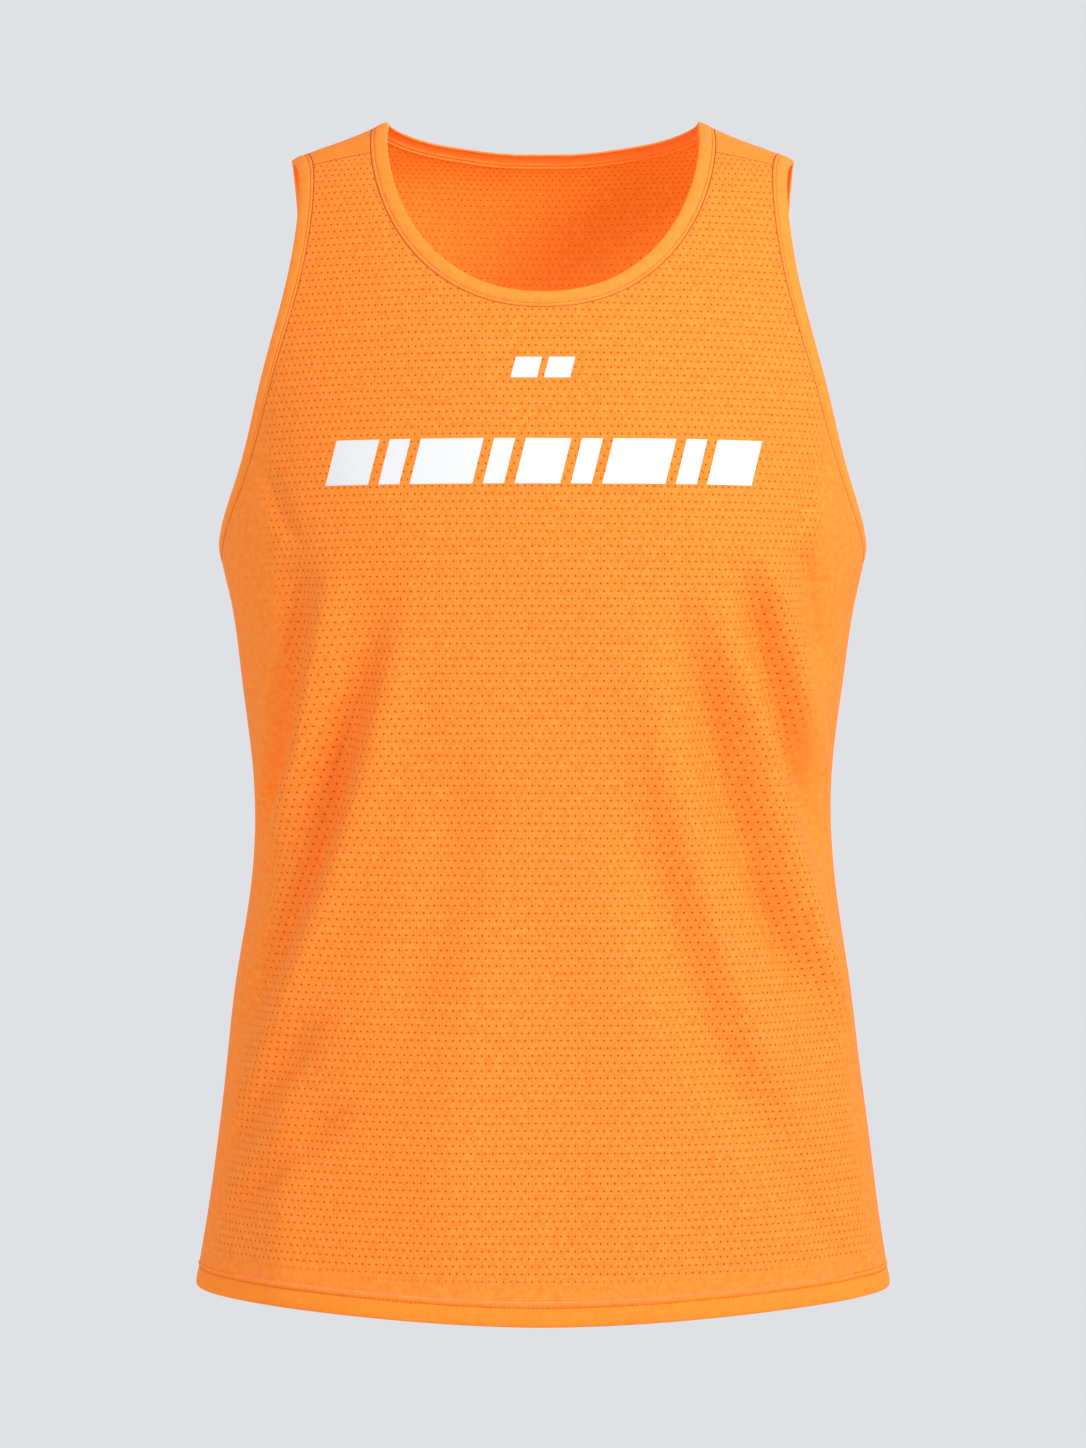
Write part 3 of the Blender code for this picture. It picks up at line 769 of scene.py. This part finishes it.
# SHOULDER PANELS. Strips of plain knit that carry the front and the back over the shoulders. Each
# is sewn between the two panels, and its ends go into the neckband and an armhole band.
PLAIN_SHADE = 0.94, 0.260, 0.025, 1
PLAIN_BRIGHT = 0.99, 0.335, 0.040, 1
plain_jersey = jersey("plain_jersey", PLAIN_SHADE, PLAIN_BRIGHT, RED_PAINTED_GLOW)
for side in ("left", "right"):
    outline = on_side(side, shoulder_outline())
    shoulder = add_cloth("shoulders_" + side, panel_mesh(outline), CLOTH, 0, plain_jersey)
    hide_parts("shoulder_panel_" + side)

# NECKBAND. A strip of plain knit folded double, sewn round the neck and topstitched beside its
# seam. Its free edge is the fold, which is round.
BAND_SHADE = 0.95, 0.275, 0.028, 1
BAND_BRIGHT = 0.995, 0.365, 0.066, 1
band_jersey = jersey("band_jersey", BAND_SHADE, BAND_BRIGHT, RED_PAINTED_GLOW)
BAND_WALL = BAND_CLOTH - BAND_PROUD

# How a band stands out from the panel, from its free edge to its seam, as shares of its width.
Section = namedtuple("Section", "share proud")
BAND_SECTION = (
    Section(0.0, -0.75), Section(0.03, -0.25), Section(0.08, 0.1), Section(0.16, 0.32),
    Section(0.3, 0.5), Section(0.5, 0.55), Section(0.66, 0.5), Section(0.74, 0.2),
    Section(0.78, -0.15), Section(0.82, 0.15), Section(0.88, 0.35), Section(0.94, 0.1),
    Section(1.0, -0.7),
)


def add_band(name, rows, section, wall, material):
    """A closed band of rows of places, each standing out as its part of the section says."""
    around = rows[0].shape[1]
    following = np.roll(np.arange(around), -1)
    faces = [
        (i + row * around, after + row * around, after + (row + 1) * around, i + (row + 1) * around)
        for row in range(len(rows) - 1)
        for i, after in enumerate(following)
    ]
    proud = np.repeat([part.proud for part in section], around)
    return add_cloth(name, (np.concatenate(rows, axis=1), faces), wall, proud, material)


def edge_rows(edge, width, section):
    """A band's rows of places, from its free edge in."""
    return [into_cloth(edge, width * part.share) for part in section]


THREAD_RADIUS = 0.22
THREAD_SIDES = 6
THREAD_FLATNESS = 0.7
THREAD_DIVE = 0.3  # how far the ends of a stitch sink
Swelling = namedtuple("Swelling", "along size")
SPINDLE = Swelling(-0.5, 0.35), Swelling(-0.3, 1.0), Swelling(0.3, 1.0), Swelling(0.5, 0.35)


def spindle(axis, side, normal):
    """The points of one stitch, a ring of them at each place along its axis."""
    turns = 2 * math.pi * np.arange(THREAD_SIDES) / THREAD_SIDES
    flat = normal * THREAD_FLATNESS
    rim = np.outer(np.cos(turns), side) + np.outer(np.sin(turns), flat)
    rings = [
        centre + rim * THREAD_RADIUS * part.size - normal * (1 - part.size) * THREAD_DIVE
        for centre, part in zip(axis, SPINDLE)
    ]
    return np.concatenate(rings)


def spindle_faces(first):
    """The faces of the stitch whose points start at this number: its sides and its two ends."""
    corners = range(THREAD_SIDES)
    faces = [[first + corner for corner in reversed(corners)]]
    for ring in range(first, first + (len(SPINDLE) - 1) * THREAD_SIDES, THREAD_SIDES):
        for corner in corners:
            a, b = ring + corner, ring + (corner + 1) % THREAD_SIDES
            faces.append((a, b, b + THREAD_SIDES, a + THREAD_SIDES))
    last = first + (len(SPINDLE) - 1) * THREAD_SIDES
    return faces + [[last + corner for corner in corners]]


def stitch_run(name, line, stitch, proud, material, closed=True):
    """A row of lockstitches along a line of places: spindles of thread, joined in one mesh."""
    points = cloth_point(*line, proud=proud)
    normals = outward(*line)
    if closed:
        points, normals = (np.concatenate([v, v[:1]]) for v in (points, normals))
    run = np.concatenate([[0], np.cumsum(np.linalg.norm(np.diff(points, axis=0), axis=1))])
    count = int(run[-1] / stitch.pitch)
    verts, faces = [], []
    for at in (np.arange(count) + 0.5) * run[-1] / count:
        places = [at + stitch.length * part.along for part in SPINDLE]
        axis = np.stack([np.interp(places, run, points[:, k]) for k in range(3)], axis=1)
        normal = np.array([np.interp(at, run, normals[:, k]) for k in range(3)])
        side = np.cross(normal, axis[-1] - axis[0])
        faces += spindle_faces(len(verts))
        verts += list(spindle(axis, side / np.linalg.norm(side), normal) * MM)
    mesh = bpy.data.meshes.new(name)
    mesh.from_pydata([tuple(v) for v in verts], [], faces)
    work = bmesh.new()
    work.from_mesh(mesh)
    bmesh.ops.recalc_face_normals(work, faces=work.faces)
    work.to_mesh(mesh)
    work.free()
    mesh.materials.append(material)
    mesh.shade_smooth()
    piece = bpy.data.objects.new(name, mesh)
    bpy.context.collection.objects.link(piece)
    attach(piece, "root")
    return piece


def yarn(name, dark, light):
    """A twisted polyester thread."""
    material = bpy.data.materials.new(name)
    material.use_nodes = True
    tree = material.node_tree
    shader = tree.nodes["Principled BSDF"]
    shader.inputs["Roughness"].default_value = 0.5
    twist = tree.nodes.new("ShaderNodeTexNoise")
    twist.inputs["Scale"].default_value = 900.0
    place = tree.nodes.new("ShaderNodeTexCoord")
    tree.links.new(place.outputs["Object"], twist.inputs["Vector"])
    tone = tone_node(tree, twist.outputs[0], dark, light)
    tree.links.new(tone, shader.inputs["Base Color"])
    return material


thread = yarn("thread", (0.56, 0.105, 0.010, 1), (0.80, 0.19, 0.025, 1))
# The seams' stitches are thread painted dark with the shade that falls in a seam's groove.
seam_shade_thread = yarn("seam_shade_thread", (0.30, 0.045, 0.003, 1), (0.46, 0.085, 0.008, 1))
Stitch = namedtuple("Stitch", "pitch length")
TOPSTITCH = Stitch(2.7, 2.1)
SEAM_STITCH = Stitch(2.4, 2.5)
STITCH_SHARE = 0.79  # where across a band its topstitch runs, which is its groove
SEAM_SUNK = -0.12

neck_rows = edge_rows(NECK_EDGE, NECK_BAND, BAND_SECTION)
neckband = add_band("neck_binding", neck_rows, BAND_SECTION, BAND_WALL, band_jersey)
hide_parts("neckband")
neck_line = into_cloth(NECK_EDGE, NECK_BAND * STITCH_SHARE)
neck_join = into_cloth(NECK_EDGE, NECK_BAND + SEAM_GAP / 2)
stitch_run("neck_stitches", neck_line, TOPSTITCH, 0.0, thread)
# Painted shade in the neck seam's groove, as dark stitches.
stitch_run("neck_seam_shade", neck_join, SEAM_STITCH, SEAM_SUNK, seam_shade_thread)

# ARMHOLE BANDS. The same strip of plain knit, folded double and sewn round each armhole under a
# little stretch, so that the edge lies close, and topstitched beside its seam.
ARM_SEAM_PROUD = 0.04
arm_rows = edge_rows(ARM_EDGE, ARM_BAND, BAND_SECTION)
arm_line = into_cloth(ARM_EDGE, ARM_BAND * STITCH_SHARE)
arm_join = into_cloth(ARM_EDGE, ARM_BAND + SEAM_GAP / 2)
for side in ("left", "right"):
    rows = [on_side(side, row) for row in arm_rows]
    binding = add_band("arm_binding_" + side, rows, BAND_SECTION, BAND_WALL, band_jersey)
    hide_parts("armhole_band_" + side)
    stitch_run("arm_stitches_" + side, on_side(side, arm_line), TOPSTITCH, 0.0, thread)
    # Painted shade in the armhole seam's groove, as dark stitches.
    stitch_run("arm_seam_shade_" + side, on_side(side, arm_join), SEAM_STITCH, ARM_SEAM_PROUD, seam_shade_thread)

# SEAMS. Painted shade in the seams that join the shoulder strips to the panels and the front to the
# back:
# a row of small stitches down in each seam, whose thread is painted dark with the shade of its
# groove.
SHOULDER_SEAM_PROUD = 0.06
StrapEnds = namedtuple("StrapEnds", "name on_neck on_arm")
STRAP_ENDS = (
    StrapEnds("front", FRONT_REACH.along_neck, ARM_STEPS - FRONT_REACH.along_arm),
    StrapEnds("back", -BACK_REACH.along_neck, ARM_STEPS + BACK_REACH.along_arm),
)
for side in ("left", "right"):
    for ends in STRAP_ENDS:
        line = on_side(side, strap_seam(ends.on_neck, ends.on_arm))
        stitch_run(f"shoulder_seam_shade_{ends.name}_{side}", line, SEAM_STITCH, SHOULDER_SEAM_PROUD,
                   seam_shade_thread, closed=False)
    stitch_run("side_seam_shade_" + side, on_side(side, side_seam()), SEAM_STITCH, SEAM_SUNK,
               seam_shade_thread, closed=False)

# HEM. The panels' lower edge, turned up inside and sewn with a flat seam that leaves a soft
# ridge just above its groove.
HEM_SECTION = (
    Section(0.0, -0.7), Section(0.03, -0.2), Section(0.08, 0.1), Section(0.2, 0.3),
    Section(0.45, 0.3), Section(0.64, 0.1), Section(0.72, -0.3), Section(0.78, -0.6),
    Section(0.83, -0.2), Section(0.89, 0.5), Section(0.95, 0.5), Section(1.0, -0.1),
)
HEM_STITCH_SUNK = -0.25
round_hem = np.linspace(-math.pi, math.pi, 2 * HEM_STEPS + 1)[:-1]
hem_rows = [hem(round_hem, HEM_BAND * part.share) for part in HEM_SECTION]
hem_fold = add_band("hem_fold", hem_rows, HEM_SECTION, BAND_WALL, plain_jersey)
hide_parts("hem_band")
hem_line = hem(round_hem, HEM_BAND * STITCH_SHARE)
stitch_run("hem_stitches", hem_line, TOPSTITCH, HEM_STITCH_SUNK, thread)

# CHEST PRINT. A thin white film, pressed on to the front with heat: slanted blocks in a row across
# the chest, and a small pair above them.
Block = namedtuple("Block", "start end low high")  # in millimetres from the centre and the origin
BLOCKS = (
    Block(-122, -97, -212, -186), Block(-91, -79, -212, -186), Block(-73, -37, -212, -186),
    Block(-31, -19, -212, -186), Block(-13, 13, -212, -186), Block(19, 31, -212, -186),
    Block(37, 73, -212, -186), Block(79, 91, -212, -186), Block(97, 123, -212, -186),
    Block(-17, -2, -151, -139), Block(2, 17, -151, -139),
)
SLANT = 0.25
BLOCK_MESH = 2  # the size of a block's faces
FILM = 0.12
FILM_PROUD = 0.16
FILM_SHADE = 0.80, 0.80, 0.80, 1
FILM_BRIGHT = 0.95, 0.95, 0.94, 1
film = bpy.data.materials.new("print_film")
film.use_nodes = True
film_shader = film.node_tree.nodes["Principled BSDF"]
film_shader.inputs["Roughness"].default_value = 0.5
film_map = film.node_tree.nodes.new("ShaderNodeUVMap")
film_map.uv_map = "cloth"
film_grain = film.node_tree.nodes.new("ShaderNodeTexNoise")
film_grain.inputs["Scale"].default_value = 900.0
film.node_tree.links.new(film_map.outputs[0], film_grain.inputs["Vector"])
film_tone = tone_node(film.node_tree, film_grain.outputs[0], FILM_SHADE, FILM_BRIGHT)
film.node_tree.links.new(film_tone, film_shader.inputs["Base Color"])


def block_mesh(block):
    """The places and faces of one slanted block."""
    across = max(2, int((block.end - block.start) / BLOCK_MESH))
    rows = max(2, int((block.high - block.low) / BLOCK_MESH))
    x, height = np.meshgrid(
        np.linspace(block.start, block.end, across + 1), np.linspace(block.low, block.high, rows + 1)
    )
    x = x + (height - (block.low + block.high) / 2) * SLANT
    up = up_at_height(height.ravel())
    after = across + 1
    corners = [i + j * after for j in range(rows) for i in range(across)]
    faces = [(i, i + 1, i + 1 + after, i + after) for i in corners]
    return np.stack([angle_at(x.ravel(), up), up]), faces


pieces = [
    add_cloth(f"print_{i + 1}", block_mesh(block), FILM, FILM_PROUD, film)
    for i, block in enumerate(BLOCKS)
]
bpy.ops.object.select_all(action="DESELECT")
for piece in pieces:
    piece.select_set(True)
bpy.context.view_layer.objects.active = pieces[0]
bpy.ops.object.join()
chest_print = bpy.context.object
chest_print.name = "chest_print"
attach(chest_print, "root")
